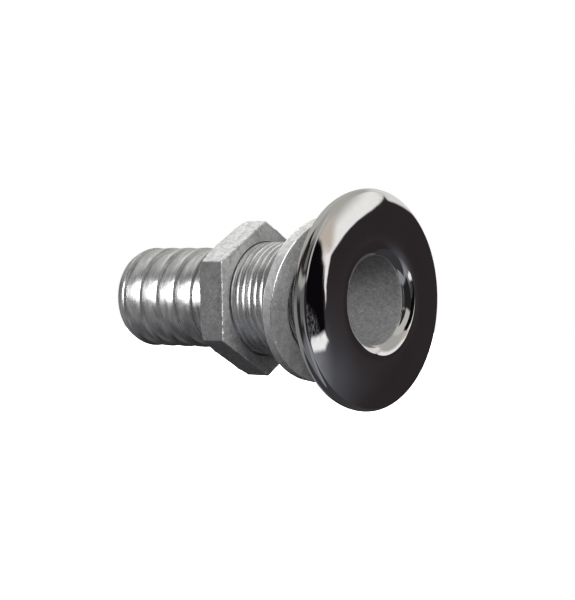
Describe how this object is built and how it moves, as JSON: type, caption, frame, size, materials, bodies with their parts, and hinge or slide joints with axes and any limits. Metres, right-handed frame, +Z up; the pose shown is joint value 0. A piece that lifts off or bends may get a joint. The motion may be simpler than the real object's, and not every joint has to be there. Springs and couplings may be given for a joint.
{
  "type": "thru hull fitting",
  "caption": "Mushroom-headed thru hull fitting with a threaded barrel, a loose washer, a hexagon hull nut and a barbed hose tail.",
  "frame": {"origin": "centre of the flat on the back of the head, the face that seats on the hull's outside", "axes": "+X along the water passage, outboard, out of the mushroom head; +Z up"},
  "size_m": [0.0897, 0.0624, 0.0624],
  "materials": {
    "chromed_casting": "mirror chrome on the head, thinner satin plating on barrel and tail, dull cast bore",
    "dull_washer_casting": "dull grey as-cast plating with bright worn edges",
    "dull_nut_casting": "dull grey as-cast plating with bright worn edges"
  },
  "bodies": {
    "fitting": {"fitting_body": "chromed_casting"},
    "washer": {"backing_washer": "dull_washer_casting"},
    "nut": {"hull_nut": "dull_nut_casting"}
  },
  "joints": [
    {"name": "nut_turn", "type": "hinge", "parent": "fitting", "child": "washer", "pos_m": [-0.0124, 0, 0], "axis": [1, 0, 0], "range_deg": [-1080, 2520]},
    {"name": "nut_travel", "type": "slide", "parent": "washer", "child": "nut", "axis": [1, 0, 0], "range_m": [-0.0067, 0.0156]}
  ],
  "couplings": [
    {"joint": "nut_travel", "follows": "nut_turn", "m_per_rad": 0.00035152}
  ]
}
